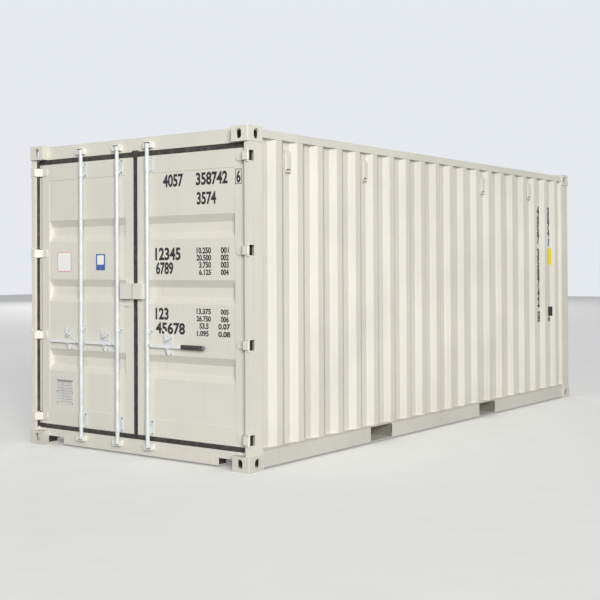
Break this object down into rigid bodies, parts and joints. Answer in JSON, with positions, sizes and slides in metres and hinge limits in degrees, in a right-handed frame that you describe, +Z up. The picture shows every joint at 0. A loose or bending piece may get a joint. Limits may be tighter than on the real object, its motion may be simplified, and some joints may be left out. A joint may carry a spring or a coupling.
{
  "type": "shipping container",
  "caption": "Steel cargo container with corrugated walls, hinged end doors with locking bars, corner castings, fork pockets and a plywood floor.",
  "frame": {"origin": "middle of the footprint, on the plane that the bottom corner castings stand on", "axes": "+X along the length, from the doors to the closed front wall; +Y to the left-hand door leaf's side; +Z up"},
  "size_m": [6.058, 2.438, 2.591],
  "materials": {
    "wall_paint": "cream enamel, weathered satin",
    "door_paint": "cream enamel, weathered satin",
    "base_paint": "cream enamel, soiled",
    "galvanised_steel": "hot-dip galvanised, dull",
    "seal_rubber": "black weatherstrip rubber, dusty",
    "floor_plywood": "oiled marine plywood"
  },
  "bodies": {
    "container": {"rear_bottom_castings": "base_paint", "rear_top_castings": "door_paint", "front_bottom_castings": "base_paint", "front_top_castings": "door_paint", "rear_post_left": "door_paint", "front_post_left": "wall_paint", "top_side_rail_left": "wall_paint", "bottom_side_rail_left": "base_paint", "side_wall_left": "wall_paint", "rear_post_right": "door_paint", "front_post_right": "wall_paint", "top_side_rail_right": "wall_paint", "bottom_side_rail_right": "base_paint", "side_wall_right": "wall_paint", "door_header": "door_paint", "rain_lip": "door_paint", "door_sill": "door_paint", "threshold": "door_paint", "front_bottom_rail": "base_paint", "front_top_rail": "wall_paint", "front_wall": "wall_paint", "roof": "wall_paint", "floor": "floor_plywood", "front_header_plate": "wall_paint", "cross_members": "base_paint", "fork_pocket_walls": "base_paint", "fork_pocket_tops": "base_paint", "fork_pocket_rims": "base_paint", "side_vents": "wall_paint", "cam_keepers": "galvanised_steel"},
    "door_left": {"door_left_frame": "door_paint", "door_left_panel": "door_paint", "door_left_gasket": "seal_rubber", "door_left_hinges": "door_paint", "door_left_bearings": "galvanised_steel", "door_left_retainers": "galvanised_steel", "lock_box_left": "door_paint"},
    "door_right": {"door_right_frame": "door_paint", "door_right_panel": "door_paint", "door_right_gasket": "seal_rubber", "door_right_hinges": "door_paint", "door_right_bearings": "galvanised_steel", "door_right_retainers": "galvanised_steel", "lock_box_right": "door_paint"},
    "bar_1": {"locking_bar_1": "galvanised_steel"},
    "handle_1": {"handle_1": "galvanised_steel"},
    "catch_1": {"catch_1": "galvanised_steel"},
    "bar_2": {"locking_bar_2": "galvanised_steel"},
    "handle_2": {"handle_2": "galvanised_steel"},
    "catch_2": {"catch_2": "galvanised_steel"},
    "bar_3": {"locking_bar_3": "galvanised_steel"},
    "handle_3": {"handle_3": "galvanised_steel", "handle_grip": "seal_rubber"},
    "catch_3": {"catch_3": "galvanised_steel"}
  },
  "joints": [
    {"name": "door_left_swing", "type": "hinge", "parent": "container", "child": "door_left", "pos_m": [-3.017, 1.207, 1.3], "axis": [0, 0, -1], "range_deg": [0, 270]},
    {"name": "door_right_swing", "type": "hinge", "parent": "container", "child": "door_right", "pos_m": [-3.017, -1.207, 1.3], "axis": [0, 0, 1], "range_deg": [0, 270]},
    {"name": "bar_1_turn", "type": "hinge", "parent": "door_left", "child": "bar_1", "pos_m": [-2.989, 0.618, 0.907], "axis": [0, 0, -1], "range_deg": [-110, 0]},
    {"name": "handle_1_lift", "type": "hinge", "parent": "bar_1", "child": "handle_1", "pos_m": [-2.994, 0.662, 0.907], "axis": [-1, 0, 0], "range_deg": [-8, 0]},
    {"name": "catch_1_flip", "type": "hinge", "parent": "door_left", "child": "catch_1", "pos_m": [-3.0055, 0.778, 0.965], "axis": [1, 0, 0], "range_deg": [0, 180]},
    {"name": "bar_2_turn", "type": "hinge", "parent": "door_left", "child": "bar_2", "pos_m": [-2.989, 0.188, 0.907], "axis": [0, 0, -1], "range_deg": [-110, 0]},
    {"name": "handle_2_lift", "type": "hinge", "parent": "bar_2", "child": "handle_2", "pos_m": [-2.994, 0.232, 0.907], "axis": [-1, 0, 0], "range_deg": [-8, 0]},
    {"name": "catch_2_flip", "type": "hinge", "parent": "door_left", "child": "catch_2", "pos_m": [-3.0055, 0.345, 0.965], "axis": [1, 0, 0], "range_deg": [0, 180]},
    {"name": "bar_3_turn", "type": "hinge", "parent": "door_right", "child": "bar_3", "pos_m": [-2.989, -0.152, 0.907], "axis": [0, 0, 1], "range_deg": [-110, 0]},
    {"name": "handle_3_lift", "type": "hinge", "parent": "bar_3", "child": "handle_3", "pos_m": [-2.994, -0.196, 0.907], "axis": [1, 0, 0], "range_deg": [-8, 0]},
    {"name": "catch_3_flip", "type": "hinge", "parent": "door_right", "child": "catch_3", "pos_m": [-3.0055, -0.364, 0.965], "axis": [-1, 0, 0], "range_deg": [0, 180]}
  ]
}
